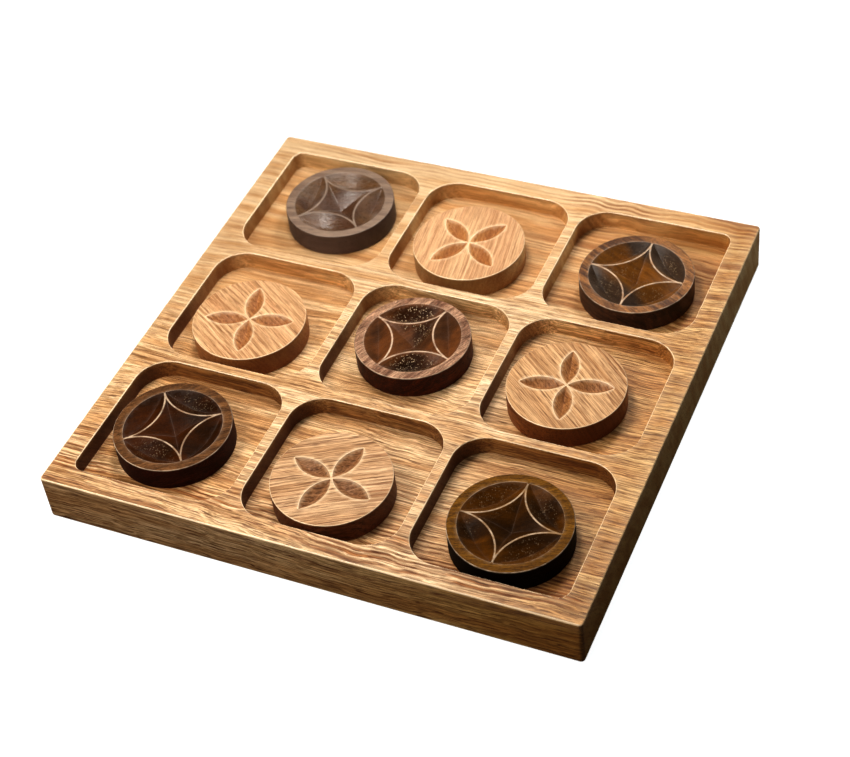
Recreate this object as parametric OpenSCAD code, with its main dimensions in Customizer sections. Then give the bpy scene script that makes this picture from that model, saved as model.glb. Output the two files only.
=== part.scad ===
// Tic tac toe set: a square hardwood board with nine open pockets, five dark
// playing pieces carved with a four-pointed star and four light playing pieces
// carved with a four-petalled flower.
// Origin: centre of the board's underside. +X to the right along the front
// edge, +Y to the back, +Z up. Millimetres.

/* [Board] */
// Side of the square board
board_side = 200; // [190:1:230]
// Thickness of the board
board_t = 19; // [14:0.5:28]
// Radius of the board's four upright corners
board_corner_r = 1.5; // [1:0.5:4]
// Radius worked along the board's top and bottom edges
board_edge_r = 0.6; // [0.3:0.1:0.9]

/* [Pockets] */
// Side of each square pocket
pocket_side = 58.4; // [54:0.2:58.8]
// Distance between the centres of neighbouring pockets
pocket_pitch = 62.5; // [61:0.5:64]
// Depth of the pockets below the board's top
pocket_depth = 7.5; // [4:0.5:10]
// Radius of the pocket corners
pocket_corner_r = 12; // [6:0.5:16]
// Radius of the pocket corner next to each corner of the board
pocket_outer_r = 4.2; // [3:0.2:12]
// Ease worked along the pocket rims
rim_ease = 0.4; // [0.2:0.1:0.8]

/* [Playing pieces] */
// Diameter of a playing piece
piece_d = 42.8; // [38:0.2:43]
// Thickness of a playing piece
piece_t = 9.1; // [8:0.1:12]
// Ease worked along the top and bottom edge of a piece
piece_ease = 0.3; // [0.2:0.1:0.6]

/* [Carving] */
// Depth gained for each millimetre in from a carved line
carve_slope = 0.77; // [0.5:0.01:0.85]
// Width of the flat ring round a star
rim_w = 3.5; // [2.5:0.1:5]
// Width of the ridge left between two carved hollows
ridge_w = 0.6; // [0.4:0.1:1]
// Distance from a piece's centre to the tip of a petal
petal_reach = 17.1; // [13:0.1:18]
// Width of the ridge left between two petals at the centre
petal_gap = 0.5; // [0.3:0.1:0.9]

/* [Star pieces in their pockets] */
// First star piece, back left: where it lies from the pocket's centre
star_1_at = [2.2, 3.4]; // [-7:0.1:7]
// First star piece: how far it is turned
star_1_turn = 46; // [0:0.5:89.5]
// Second star piece, back right: where it lies from the pocket's centre
star_2_at = [1.9, -3]; // [-7:0.1:7]
// Second star piece: how far it is turned
star_2_turn = 89; // [0:0.5:89.5]
// Third star piece, middle: where it lies from the pocket's centre
star_3_at = [-2, 3.1]; // [-7:0.1:7]
// Third star piece: how far it is turned
star_3_turn = 68.5; // [0:0.5:89.5]
// Fourth star piece, front left: where it lies from the pocket's centre
star_4_at = [-3.2, -1.5]; // [-7:0.1:7]
// Fourth star piece: how far it is turned
star_4_turn = 38; // [0:0.5:89.5]
// Fifth star piece, front right: where it lies from the pocket's centre
star_5_at = [1.3, -5.7]; // [-7:0.1:7]
// Fifth star piece: how far it is turned
star_5_turn = 1.5; // [0:0.5:89.5]

/* [Flower pieces in their pockets] */
// First flower piece, back middle: where it lies from the pocket's centre
flower_1_at = [-2.1, -4.7]; // [-7:0.1:7]
// First flower piece: how far it is turned
flower_1_turn = 52.5; // [0:0.5:89.5]
// Second flower piece, middle left: where it lies from the pocket's centre
flower_2_at = [-1.9, -6.1]; // [-7:0.1:7]
// Second flower piece: how far it is turned
flower_2_turn = 12.5; // [0:0.5:89.5]
// Third flower piece, middle right: where it lies from the pocket's centre
flower_3_at = [-3, -2.8]; // [-7:0.1:7]
// Third flower piece: how far it is turned
flower_3_turn = 11.5; // [0:0.5:89.5]
// Fourth flower piece, front middle: where it lies from the pocket's centre
flower_4_at = [-1.2, -6.4]; // [-7:0.1:7]
// Fourth flower piece: how far it is turned
flower_4_turn = 73.5; // [0:0.5:89.5]

/* [Hidden] */
$fn = 96;
eps = 0.05;
floor_z = board_t - pocket_depth;
piece_r = piece_d / 2;
star_r = piece_r - rim_w;
star_depth = carve_slope * (sqrt(2) - 1) * star_r;
// circles that bound the petals: each passes through the centre and two tips
petal_l = petal_reach + petal_gap / 2;
petal_r = petal_l / sqrt(2) - petal_gap / 2;
// a piece can lie anywhere in its pocket, clear of the walls
slack = pocket_side / 2 - piece_r - 0.3;
function held(v) = [for (c = v) min(max(c, -slack), slack)];

// Outline of a bar seen end-on: full thickness, with its long edges rounded.
module bar_outline(w) {
  e = board_edge_r;
  translate([-w / 2 + e, 0]) square([w - 2 * e, board_t]);
  translate([-w / 2, e]) square([w, board_t - 2 * e]);
  for (x = [-w / 2 + e, w / 2 - e], y = [e, board_t - e])
    translate([x, y]) circle(r = e, $fn = 32);
}

// The board before its pockets are cut: a wide bar, a narrow bar along each
// end of it, and a quarter-round post at each corner.
module board_blank() {
  inner = board_side - 2 * board_corner_r;
  translate([-inner / 2, 0, 0]) rotate([90, 0, 90])
    linear_extrude(inner) bar_outline(board_side);
  for (i = [0, 1]) rotate([0, 0, 180 * i]) {
    translate([inner / 2, inner / 2, 0]) rotate([90, 0, 0])
      linear_extrude(inner) edge_outline();
    translate([inner / 2, inner / 2, 0]) rotate_extrude(angle = 90) edge_outline();
    translate([inner / 2, -inner / 2, 0]) rotate([0, 0, -90])
      rotate_extrude(angle = 90) edge_outline();
  }
}

// Outline of the board's outermost strip, from its inner line (x = 0) out.
module edge_outline() {
  e = board_edge_r;
  square([board_corner_r - e, board_t]);
  translate([0, e]) square([board_corner_r, board_t - 2 * e]);
  for (y = [e, board_t - e]) intersection() {
    translate([board_corner_r - e, y]) circle(r = e, $fn = 32);
    square([board_corner_r, board_t]);
  }
}

// Section of a pocket from its middle line (x = 0) out to the wall at x = w,
// with the rim eased. y = 0 is the board's top.
module pocket_section(w) {
  polygon([[0, -pocket_depth], [w, -pocket_depth], [w, -rim_ease],
           [w + rim_ease + eps, eps], [0, eps]]);
}

// One pocket's cutter. r lists its corner radii anticlockwise from the back right.
module pocket_cut(r) {
  h = pocket_side / 2;
  for (i = [0:3]) rotate([0, 0, 90 * i]) {
    // wall to the +X side, between corner i (at +Y) and corner i - 1 (at -Y)
    r_hi = r[i];
    r_lo = r[(i + 3) % 4];
    translate([0, h - r_hi, 0]) rotate([90, 0, 0])
      linear_extrude(2 * h - r_hi - r_lo) pocket_section(h);
    translate([h - r_hi, h - r_hi, 0]) rotate_extrude() pocket_section(r_hi);
  }
}

// Corner radii of the pocket in column i, row j (0 to 2 from the left and front).
// The corner that points at a corner of the board is the tighter one.
function corner_radii(i, j) = [
  i == 2 && j == 2 ? pocket_outer_r : pocket_corner_r,
  i == 0 && j == 2 ? pocket_outer_r : pocket_corner_r,
  i == 0 && j == 0 ? pocket_outer_r : pocket_corner_r,
  i == 2 && j == 0 ? pocket_outer_r : pocket_corner_r];

module board() {
  color([0.80, 0.62, 0.40]) difference() {
    board_blank();
    for (i = [0:2], j = [0:2])
      translate([(i - 1) * pocket_pitch, (j - 1) * pocket_pitch, board_t])
        pocket_cut(corner_radii(i, j));
  }
}

// A round playing piece before carving, standing on z = 0.
module piece_blank() {
  e = piece_ease;
  rotate_extrude() polygon([[0, 0], [piece_r - e, 0], [piece_r, e],
    [piece_r, piece_t - e], [piece_r - e, piece_t], [0, piece_t]]);
}

// Everything nearer than r to the axis at c, with depth growing inwards from
// the circle: a cone standing on its point.
module hollow_cone(c, r) {
  translate([c[0], c[1], piece_t - carve_slope * r])
    cylinder(h = carve_slope * (r + eps), r1 = 0, r2 = r + eps);
}

// The star: flat-bottomed nowhere, its four walls run down from four arcs that
// curve in towards the centre.
module star_cut() {
  h = star_depth + 0.6;
  rr = star_r + ridge_w / 2;
  difference() {
    translate([0, 0, piece_t - h]) cylinder(h = h + eps, r = star_r);
    for (i = [0:3]) rotate([0, 0, 90 * i]) translate([star_r, star_r, piece_t - h - eps])
      cylinder(h = h + 3 * eps, r1 = rr + (h + eps) / carve_slope, r2 = rr - 2 * eps / carve_slope);
  }
}

module star_piece(at, turn, cell) {
  p = held(at);
  color([0.36, 0.22, 0.13])
  translate([cell[0] * pocket_pitch + p[0], cell[1] * pocket_pitch + p[1], floor_z])
  rotate([0, 0, turn]) difference() {
    piece_blank();
    star_cut();
    // four lenses between the star and the rim
    for (i = [0:3]) rotate([0, 0, 90 * i]) intersection() {
      hollow_cone([0, 0], star_r);
      hollow_cone([star_r, star_r], star_r - ridge_w / 2);
    }
  }
}

module flower_piece(at, turn, cell) {
  p = held(at);
  color([0.82, 0.64, 0.43])
  translate([cell[0] * pocket_pitch + p[0], cell[1] * pocket_pitch + p[1], floor_z])
  rotate([0, 0, turn]) difference() {
    piece_blank();
    // four petals, each bounded by two arcs
    for (i = [0:3]) rotate([0, 0, 90 * i]) intersection() {
      hollow_cone([petal_l / 2, petal_l / 2], petal_r);
      hollow_cone([petal_l / 2, -petal_l / 2], petal_r);
    }
  }
}

module star_piece_1() { star_piece(star_1_at, star_1_turn, [-1, 1]); }
module star_piece_2() { star_piece(star_2_at, star_2_turn, [1, 1]); }
module star_piece_3() { star_piece(star_3_at, star_3_turn, [0, 0]); }
module star_piece_4() { star_piece(star_4_at, star_4_turn, [-1, -1]); }
module star_piece_5() { star_piece(star_5_at, star_5_turn, [1, -1]); }
module flower_piece_1() { flower_piece(flower_1_at, flower_1_turn, [0, 1]); }
module flower_piece_2() { flower_piece(flower_2_at, flower_2_turn, [-1, 0]); }
module flower_piece_3() { flower_piece(flower_3_at, flower_3_turn, [1, 0]); }
module flower_piece_4() { flower_piece(flower_4_at, flower_4_turn, [0, -1]); }

board();
star_piece_1();
star_piece_2();
star_piece_3();
star_piece_4();
star_piece_5();
flower_piece_1();
flower_piece_2();
flower_piece_3();
flower_piece_4();
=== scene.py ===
import bpy
import math
import numpy as np
from mathutils import Matrix, Vector
from mathutils.geometry import delaunay_2d_cdt


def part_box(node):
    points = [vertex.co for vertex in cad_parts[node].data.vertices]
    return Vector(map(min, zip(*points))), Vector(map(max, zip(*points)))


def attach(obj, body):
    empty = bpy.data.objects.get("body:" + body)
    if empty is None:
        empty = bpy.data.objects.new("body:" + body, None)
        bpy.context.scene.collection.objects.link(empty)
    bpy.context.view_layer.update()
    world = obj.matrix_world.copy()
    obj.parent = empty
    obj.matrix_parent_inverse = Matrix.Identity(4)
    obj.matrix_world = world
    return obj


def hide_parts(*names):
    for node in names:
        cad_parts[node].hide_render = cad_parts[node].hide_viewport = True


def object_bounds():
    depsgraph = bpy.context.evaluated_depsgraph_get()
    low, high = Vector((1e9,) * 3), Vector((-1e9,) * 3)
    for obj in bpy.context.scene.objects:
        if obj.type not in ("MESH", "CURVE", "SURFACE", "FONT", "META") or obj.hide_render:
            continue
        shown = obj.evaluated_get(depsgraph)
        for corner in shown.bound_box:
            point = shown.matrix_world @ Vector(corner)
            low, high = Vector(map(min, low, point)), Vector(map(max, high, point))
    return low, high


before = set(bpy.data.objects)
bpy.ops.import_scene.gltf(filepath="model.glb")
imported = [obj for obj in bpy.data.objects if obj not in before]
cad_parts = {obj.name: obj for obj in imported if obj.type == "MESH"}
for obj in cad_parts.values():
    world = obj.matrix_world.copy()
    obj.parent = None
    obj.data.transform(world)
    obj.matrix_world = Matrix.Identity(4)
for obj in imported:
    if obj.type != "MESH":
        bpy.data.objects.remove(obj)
cad_lo, cad_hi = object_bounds()

# ---------------------------------------------------------------------------
# Sizes. Everything below is worked out in millimetres in the row frame and
# turned into metres when a mesh is written. The places of the pieces come from
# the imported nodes.
# ---------------------------------------------------------------------------
MM = 1000.0
b_lo, b_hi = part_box("board")
BOARD_HALF = (b_hi.x - b_lo.x) / 2 * MM
BOARD_T = (b_hi.z - b_lo.z) * MM
BOARD_CORNER_R = 1.5
BOARD_EDGE_R = 0.6
POCKET_PITCH = 62.5
POCKET_HALF = 29.2
POCKET_R = 12.0
POCKET_OUTER_R = 4.2
RIM_EASE = 0.4
COVE = 0.22

p_lo, p_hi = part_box("star_piece_3")
PIECE_R = (p_hi.x - p_lo.x) / 2 * MM
PIECE_T = (p_hi.z - p_lo.z) * MM
FLOOR_Z = p_lo.z * MM
PIECE_EASE = 0.3
SLOPE = 0.77
STAR_R = PIECE_R - 3.5
GAP = 0.3                      # half the width of the ridges between hollows
PETAL_L = 17.35
PETAL_R = PETAL_L / math.sqrt(2) - 0.25

TURN = {
    "star_piece_1": 46.0, "star_piece_2": 89.0, "star_piece_3": 68.5,
    "star_piece_4": 38.0, "star_piece_5": 1.5,
    "flower_piece_1": 52.5, "flower_piece_2": 12.5,
    "flower_piece_3": 11.5, "flower_piece_4": 73.5,
}


# how bright the bottom lines of the hollows are, and where painted glint specks go, with painted shade under them:
# direction, half width in degrees, inner and outer radius, strength
VALLEY = {"star_piece_1": 0.25, "star_piece_2": 0.22, "star_piece_3": 0.30,
          "star_piece_4": 0.28, "star_piece_5": 0.20}
GLINTS = {
    "star_piece_1": [(95.0, 50.0, 6.0, 16.5, 0.30), (275.0, 30.0, 8.0, 16.0, 0.30)],
    "star_piece_2": [(150.0, 50.0, 3.0, 12.0, 0.32), (44.0, 34.0, 7.0, 16.0, 0.36), (224.0, 38.0, 8.0, 16.0, 0.32),
                     (314.0, 34.0, 7.0, 15.0, 0.30)],
    "star_piece_3": [(112.0, 46.0, 6.0, 17.5, 1.0), (75.0, 50.0, 0.0, 9.0, 0.60), (293.0, 44.0, 6.0, 17.5, 0.95)],
    "star_piece_4": [(84.0, 48.0, 7.0, 17.5, 0.27), (264.0, 48.0, 7.0, 17.5, 0.27)],
    "star_piece_5": [(136.0, 46.0, 6.0, 17.5, 0.22), (316.0, 46.0, 6.0, 17.5, 0.24), (48.0, 35.0, 8.0, 16.0, 0.26),
                     (200.0, 25.0, 6.0, 16.0, 0.18)],
}


def centre_of(node):
    lo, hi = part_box(node)
    return (lo.x + hi.x) / 2 * MM, (lo.y + hi.y) / 2 * MM


# ---------------------------------------------------------------------------
# Small numeric helpers
# ---------------------------------------------------------------------------
def wave_noise(s, seed, lengths, amps, period=None):
    """Smooth seeded noise of arc length s; with a period it closes on itself."""
    rng = np.random.default_rng(seed)
    out = np.zeros_like(s, float)
    for length, amp in zip(lengths, amps):
        for _ in range(3):
            wl = length * rng.uniform(0.7, 1.4)
            if period:
                wl = period / max(1, round(period / wl))
            out += amp * np.sin(2 * np.pi * s / wl + rng.uniform(0, 2 * np.pi)) / 1.7
    return out


def smin(a, b, k):
    h = np.clip(0.5 + 0.5 * (b - a) / k, 0, 1)
    return b * (1 - h) + a * h - k * h * (1 - h)


def pos(d, k):
    return np.where(d <= -k, 0.0, np.where(d >= k, d, (d + k) ** 2 / (4 * k)))


def smoothstep(x, a, b):
    t = np.clip((x - a) / (b - a), 0, 1)
    return t * t * (3 - 2 * t)


def make_mesh(name, verts, faces, normals, attrs):
    """verts and normals in mm in the row frame; attrs name -> (n,) or (n,3)."""
    me = bpy.data.meshes.new(name)
    v = np.asarray(verts, float) / MM
    me.from_pydata([tuple(p) for p in v], [], [tuple(int(i) for i in f) for f in faces])
    me.validate(clean_customdata=False)
    me.update()
    for key, values in attrs.items():
        values = np.asarray(values, np.float32)
        if values.ndim == 1:
            a = me.attributes.new(key, "FLOAT", "POINT")
            a.data.foreach_set("value", values)
        else:
            a = me.attributes.new(key, "FLOAT_VECTOR", "POINT")
            a.data.foreach_set("vector", values.ravel())
    me.polygons.foreach_set("use_smooth", np.ones(len(me.polygons), bool))
    n = np.asarray(normals, float)
    n = n / np.maximum(np.linalg.norm(n, axis=1, keepdims=True), 1e-9)
    me.normals_split_custom_set_from_vertices([tuple(q) for q in n])
    me.update()
    ob = bpy.data.objects.new(name, me)
    bpy.context.scene.collection.objects.link(ob)
    return ob


def orient(verts, faces, normals):
    """Turns each face so that it looks the way its corner normals do."""
    out = []
    v = np.asarray(verts, float)
    n = np.asarray(normals, float)
    for f in faces:
        a, b, c = v[f[0]], v[f[1]], v[f[2]]
        fn = np.cross(b - a, c - a)
        if len(f) == 4:
            fn = np.cross(c - a, v[f[3]] - b)
        s = n[list(f)].sum(0)
        out.append(tuple(f) if fn @ s >= 0 else tuple(reversed(f)))
    return out


class Build:
    """Collects vertices, normals, attributes and faces of one piece."""

    def __init__(self):
        self.v, self.n, self.f = [], [], []
        self.wear, self.carve, self.side, self.glint = [], [], [], []
        self.count = 0

    def add(self, v, n, wear=0.0, carve=0.0, side=0.0, glint=0.0):
        v = np.asarray(v, float)
        k = len(v)
        self.v.append(v)
        self.n.append(np.broadcast_to(np.asarray(n, float), (k, 3)).copy())
        self.wear.append(np.broadcast_to(np.asarray(wear, float), (k,)).copy())
        self.carve.append(np.broadcast_to(np.asarray(carve, float), (k,)).copy())
        self.side.append(np.broadcast_to(np.asarray(side, float), (k,)).copy())
        self.glint.append(np.broadcast_to(np.asarray(glint, float), (k,)).copy())
        first = self.count
        self.count += k
        return np.arange(first, first + k)

    def strip(self, ring_a, ring_b):
        n = len(ring_a)
        for i in range(n):
            j = (i + 1) % n
            self.f.append((ring_a[i], ring_a[j], ring_b[j], ring_b[i]))

    def arrays(self):
        return (np.concatenate(self.v), np.concatenate(self.n),
                np.concatenate(self.wear), np.concatenate(self.carve), np.concatenate(self.side),
                np.concatenate(self.glint))


def hex_points(half_x, half_y, step):
    rows = int(half_y / (step * 0.866)) + 1
    cols = int(half_x / step) + 1
    out = []
    for j in range(-rows, rows + 1):
        for i in range(-cols, cols + 1):
            out.append((i * step + (j % 2) * step / 2, j * step * 0.866))
    return np.array(out)


def far_from(points, others, dist):
    """The points that are further than dist from every one of the others."""
    keep = np.ones(len(points), bool)
    for s in range(0, len(points), 400):
        blk = points[s:s + 400]
        d2 = ((blk[:, None, :] - others[None, :, :]) ** 2).sum(-1).min(1)
        keep[s:s + 400] = d2 > dist * dist
    return points[keep]


def cdt(points, edges):
    """Delaunay with kept edges. Returns points, triangles and a map from the points given."""
    res = delaunay_2d_cdt([Vector((float(x), float(y))) for x, y in points],
                          [(int(a), int(b)) for a, b in edges], [], 0, 1e-5, True)
    pts = np.array([(p.x, p.y) for p in res[0]])
    tris = [tuple(f) for f in res[2]]
    where = {}
    for i, src in enumerate(res[3]):
        for s in src:
            where[s] = i
    return pts, tris, where


# ---------------------------------------------------------------------------
# The carved tops
# ---------------------------------------------------------------------------
K_EDGE = 0.13                  # rounding of the carved edges
K_VALLEY = 0.16                # rounding where two carved walls meet
CORNERS = [(1, 1), (-1, 1), (-1, -1), (1, -1)]


def star_parts(p):
    r = np.hypot(p[:, 0], p[:, 1])
    inner = STAR_R - r
    ds = [np.hypot(p[:, 0] - cx * STAR_R, p[:, 1] - cy * STAR_R) for cx, cy in CORNERS]
    k = K_VALLEY
    star = smin(smin(ds[0] - (STAR_R + GAP), ds[1] - (STAR_R + GAP), k),
                smin(ds[2] - (STAR_R + GAP), ds[3] - (STAR_R + GAP), k), k)
    star = np.minimum(star, inner)
    lenses = [smin(inner, (STAR_R - GAP) - d, k) for d in ds]
    return star, lenses


def star_depth(p):
    star, lenses = star_parts(p)
    out = pos(star, K_EDGE)
    for q in lenses:
        out = out + pos(q, K_EDGE)
    return SLOPE * out


def star_edge_distance(p):
    star, lenses = star_parts(p)
    d = np.maximum(star, np.max(lenses, axis=0))
    return d


def petal_parts(p):
    out = []
    for i in range(4):
        c, s = [(1, 0), (0, 1), (-1, 0), (0, -1)][i]
        u = p[:, 0] * c + p[:, 1] * s
        v = -p[:, 0] * s + p[:, 1] * c
        a = PETAL_R - np.hypot(u - PETAL_L / 2, v - PETAL_L / 2)
        b = PETAL_R - np.hypot(u - PETAL_L / 2, v + PETAL_L / 2)
        out.append(smin(a, b, K_VALLEY))
    return out


def petal_depth(p):
    out = 0
    for q in petal_parts(p):
        out = out + pos(q, 0.1)
    return SLOPE * out


def petal_edge_distance(p):
    return np.max(petal_parts(p), axis=0)


def arc(cx, cy, r, keep, step=0.42):
    """Points of a circle with angle steps of about step mm, cut where keep(p) is false. Returns runs."""
    n = max(24, int(2 * math.pi * r / step))
    a = np.arange(n + 1) * 2 * math.pi / n
    p = np.stack([cx + r * np.cos(a), cy + r * np.sin(a)], 1)
    ok = keep(p)
    if ok.all():
        return [np.concatenate([p[:-1], p[:1]])]
    start = int(np.argmin(ok))
    order = [(start + i) % n for i in range(n + 1)]
    runs, cur = [], []
    for i in order:
        if ok[i]:
            cur.append(p[i])
        else:
            if len(cur) > 2:
                runs.append(np.array(cur))
            cur = []
    if len(cur) > 2:
        runs.append(np.array(cur))
    return runs


def star_curves():
    runs = []
    k = K_EDGE
    for d in (-k, 0.0, k):
        runs += arc(0, 0, STAR_R - d, lambda p: np.ones(len(p), bool))
    for cx, cy in CORNERS:
        for d in (-k, 0.0, k):
            runs += arc(cx * STAR_R, cy * STAR_R, STAR_R - GAP - d,
                        lambda p: np.hypot(p[:, 0], p[:, 1]) < STAR_R + 0.05)
            runs += arc(cx * STAR_R, cy * STAR_R, STAR_R + GAP + d,
                        lambda p: (p[:, 0] * cx > 0.0) & (p[:, 1] * cy > 0.0)
                        & (np.hypot(p[:, 0], p[:, 1]) < STAR_R))
    # valleys of the star, along the four axes
    tip = STAR_R - math.sqrt((STAR_R + GAP) ** 2 - STAR_R ** 2)
    for c, s in [(1, 0), (0, 1), (-1, 0), (0, -1)]:
        for off in (-0.16, 0.0, 0.16):
            u = np.arange(0.25 if off else 0.0, tip + 0.3, 0.6)
            runs.append(np.stack([u * c - off * s, u * s + off * c], 1))
    # valleys of the four lenses
    for cx, cy in CORNERS:
        for off in (-0.16, 0.0, 0.16):
            pts = []
            for w in np.arange(-12.0, 12.01, 0.6):
                lo, hi = 6.0, 18.0
                for _ in range(40):
                    q = (lo + hi) / 2
                    x = (q * cx - w * cy) / math.sqrt(2)
                    y = (q * cy + w * cx) / math.sqrt(2)
                    a = STAR_R - math.hypot(x, y)
                    b = STAR_R - GAP - math.hypot(x - cx * STAR_R, y - cy * STAR_R)
                    if b - a < off:
                        lo = q
                    else:
                        hi = q
                pts.append((x, y))
            runs.append(np.array(pts))
    return runs


def petal_curves():
    runs = []
    k = 0.1
    for i in range(4):
        c, s = [(1, 0), (0, 1), (-1, 0), (0, -1)][i]
        for side in (1, -1):
            for d in (-k, 0.0, k):
                for run in arc(PETAL_L / 2, side * PETAL_L / 2, PETAL_R - d,
                               lambda p: (p[:, 1] * side < 0.05) & (p[:, 0] > 0.0) & (p[:, 0] < PETAL_L), 0.32):
                    runs.append(np.stack([run[:, 0] * c - run[:, 1] * s,
                                          run[:, 0] * s + run[:, 1] * c], 1))
        for off in (-0.12, 0.0, 0.12):
            u = np.arange(0.7, PETAL_L - 0.6, 0.5)
            runs.append(np.stack([u * c - off * s, u * s + off * c], 1))
    return runs


RING_N = 200


def disc_layout(runs, grid):
    """Triangles of a disc of radius PIECE_R - PIECE_EASE that follow the given curves."""
    r = PIECE_R - PIECE_EASE
    a = np.arange(RING_N) * 2 * math.pi / RING_N
    ring = np.stack([r * np.cos(a), r * np.sin(a)], 1)
    points = [ring]
    edges = [(i, (i + 1) % RING_N) for i in range(RING_N)]
    n = RING_N
    for run in runs:
        closed = np.allclose(run[0], run[-1]) and len(run) > 8
        q = run[:-1] if closed else run
        points.append(q)
        edges += [(n + i, n + i + 1) for i in range(len(q) - 1)]
        if closed:
            edges.append((n + len(q) - 1, n))
        n += len(q)
    feat = np.concatenate(points)
    inner = hex_points(r, r, grid)
    inner = inner[np.hypot(inner[:, 0], inner[:, 1]) < r - grid * 0.45]
    inner = far_from(inner, feat, min(grid * 0.45, 0.45))
    pts, tris, where = cdt(np.concatenate([feat, inner]), edges)
    return pts, tris, [where[i] for i in range(RING_N)]


STAR_LAYOUT = disc_layout(star_curves(), 1.05)
PETAL_LAYOUT = disc_layout(petal_curves(), 1.25)
PLAIN_LAYOUT = disc_layout([], 3.0)


def carved_piece(name, kind):
    cx, cy = centre_of(name)
    turn = math.radians(TURN[name])
    c, s = math.cos(turn), math.sin(turn)
    top_z = FLOOR_Z + PIECE_T
    b = Build()
    if kind == "star":
        pts, tris, ring = STAR_LAYOUT
        depth, edge, kk = star_depth, star_edge_distance, K_EDGE
    else:
        pts, tris, ring = PETAL_LAYOUT
        depth, edge, kk = petal_depth, petal_edge_distance, 0.1
    h = depth(pts)
    eps = 0.01
    gx = (depth(pts + [eps, 0]) - depth(pts - [eps, 0])) / (2 * eps)
    gy = (depth(pts + [0, eps]) - depth(pts - [0, eps])) / (2 * eps)
    e = edge(pts)
    # lighter lines along the carved edges: partly sanded top wood, partly a painted highlight
    wear = np.where(e > 0, 0.35 * np.clip(1 - e / kk, 0, 1), np.clip(0.35 + 0.65 * (-e) / kk, 0, 1)
                    * np.clip(1 - (-e - GAP) / 0.2, 0, 1))
    rad = np.hypot(pts[:, 0], pts[:, 1])
    glint = np.zeros(len(pts))
    if kind == "star":
        # the inner edge of the ring gets a narrower, stronger light line than the ridges: partly sanded wood, partly a
        # painted highlight
        on_rim = smoothstep(rad, STAR_R - 0.7, STAR_R - 0.2)
        wear = wear * (1 - on_rim) + on_rim * 0.8 * np.clip(1 - np.abs(e) / 0.16, 0, 1)
        # the bottoms of the hollows show as faint lines
        star, lenses = star_parts(pts)
        d_ax = np.minimum(np.abs(pts[:, 0]), np.abs(pts[:, 1]))
        line = np.where(star > 0.4, np.clip(1 - d_ax / 0.2, 0, 1), 0.0)
        for (qx, qy), q in zip(CORNERS, lenses):
            a1 = STAR_R - rad
            b1 = STAR_R - GAP - np.hypot(pts[:, 0] - qx * STAR_R, pts[:, 1] - qy * STAR_R)
            line = np.maximum(line, np.where(q > 0.5, np.clip(1 - np.abs(a1 - b1) / 0.25, 0, 1), 0.0))
        wear = np.maximum(wear, line * VALLEY[name])
        # painted glint specks, with painted shade under them, placed by direction from the centre of the piece
        ang = (np.degrees(np.arctan2(pts[:, 1], pts[:, 0])) + TURN[name]) % 360
        for at, half, r0, r1, gain in GLINTS[name]:
            off = np.abs((ang - at + 180) % 360 - 180)
            glint = np.maximum(glint, gain * smoothstep(-off, -half, -half * 0.4)
                               * smoothstep(rad, r0 - 0.8, r0 + 0.8) * smoothstep(-rad, -r1 - 0.8, -r1 + 0.8))
        glint = glint * smoothstep(e, 0.1, 0.5)
    else:
        wear = np.clip(1 - np.abs(e) / 0.16, 0, 1)
    carve = smoothstep(e, -kk * 0.2, kk * 1.1)
    # the ground walls of a hollow are never quite true: a slow ripple a few hundredths deep
    rip = 0.022 * smoothstep(e, 0.2, 1.0) * (
        np.sin(pts[:, 0] * 2.1 + 1.3 * np.sin(pts[:, 1] * 1.1)) + np.sin(pts[:, 1] * 2.6 + pts[:, 0] * 0.7))
    x = pts[:, 0] * c - pts[:, 1] * s
    y = pts[:, 0] * s + pts[:, 1] * c
    nx = gx * c - gy * s
    ny = gx * s + gy * c
    z = top_z - h + rip
    top = b.add(np.stack([cx + x, cy + y, z], 1),
                np.stack([nx, ny, np.ones(len(pts))], 1), wear, carve, 0.0, glint)
    for t in tris:
        b.f.append(tuple(top[i] for i in t))
    prev = top[ring]
    a = np.arange(RING_N) * 2 * math.pi / RING_N + turn
    ca, sa = np.cos(a), np.sin(a)
    seg = 4

    def ring_at(r, z, nr, nz, wear, side=1.0):
        return b.add(np.stack([cx + r * ca, cy + r * sa, np.broadcast_to(z, a.shape)], 1),
                     np.stack([nr * ca, nr * sa, np.broadcast_to(nz, a.shape)], 1), wear, 0.0, side)

    # a few small dents in the rim of the middle star piece, from use
    dent = np.zeros(RING_N)
    if name == "star_piece_3":
        for at, width, deep in ((194.0, 2.2, 0.55), (207.0, 1.3, 0.3), (176.0, 1.1, 0.22)):
            da = (np.degrees(a) - at + 180) % 360 - 180
            dent += deep * np.exp(-(da / width) ** 2)
    # the rounded top edge of the rim is lighter: partly sanded wood, partly a painted highlight that is strongest on
    # the front side
    for i in range(1, seg + 1):
        th = i / seg * math.pi / 2
        cur = ring_at(PIECE_R - PIECE_EASE * (1 - math.sin(th)) - dent * 0.6,
                      top_z - PIECE_EASE * (1 - math.cos(th)) - dent * 0.5,
                      math.sin(th), math.cos(th),
                      (math.sin(2 * th) ** 0.5 if i < seg else 0.15) * (0.75 - 0.55 * sa), i / seg)
        b.strip(prev, cur)
        prev = cur
    bot_z = FLOOR_Z
    zs = np.linspace(top_z - PIECE_EASE - 0.5, bot_z + PIECE_EASE, 6)
    for i, zz in enumerate(zs):
        cur = ring_at(PIECE_R, zz, 1.0, 0.0, 0.0)
        b.strip(prev, cur)
        prev = cur
    for i in range(1, seg):
        th = i / seg * math.pi / 2
        cur = ring_at(PIECE_R - PIECE_EASE * (1 - math.cos(th)), bot_z + PIECE_EASE * (1 - math.sin(th)),
                      math.cos(th), -math.sin(th), 0.6)
        b.strip(prev, cur)
        prev = cur
    pts, tris, ring = PLAIN_LAYOUT
    x = pts[:, 0] * c - pts[:, 1] * s
    y = pts[:, 0] * s + pts[:, 1] * c
    low = b.add(np.stack([cx + x, cy + y, np.full(len(pts), bot_z)], 1), (0, 0, -1.0))
    for t in tris:
        b.f.append(tuple(low[i] for i in t))
    b.strip(prev, low[ring])
    return b


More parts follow.
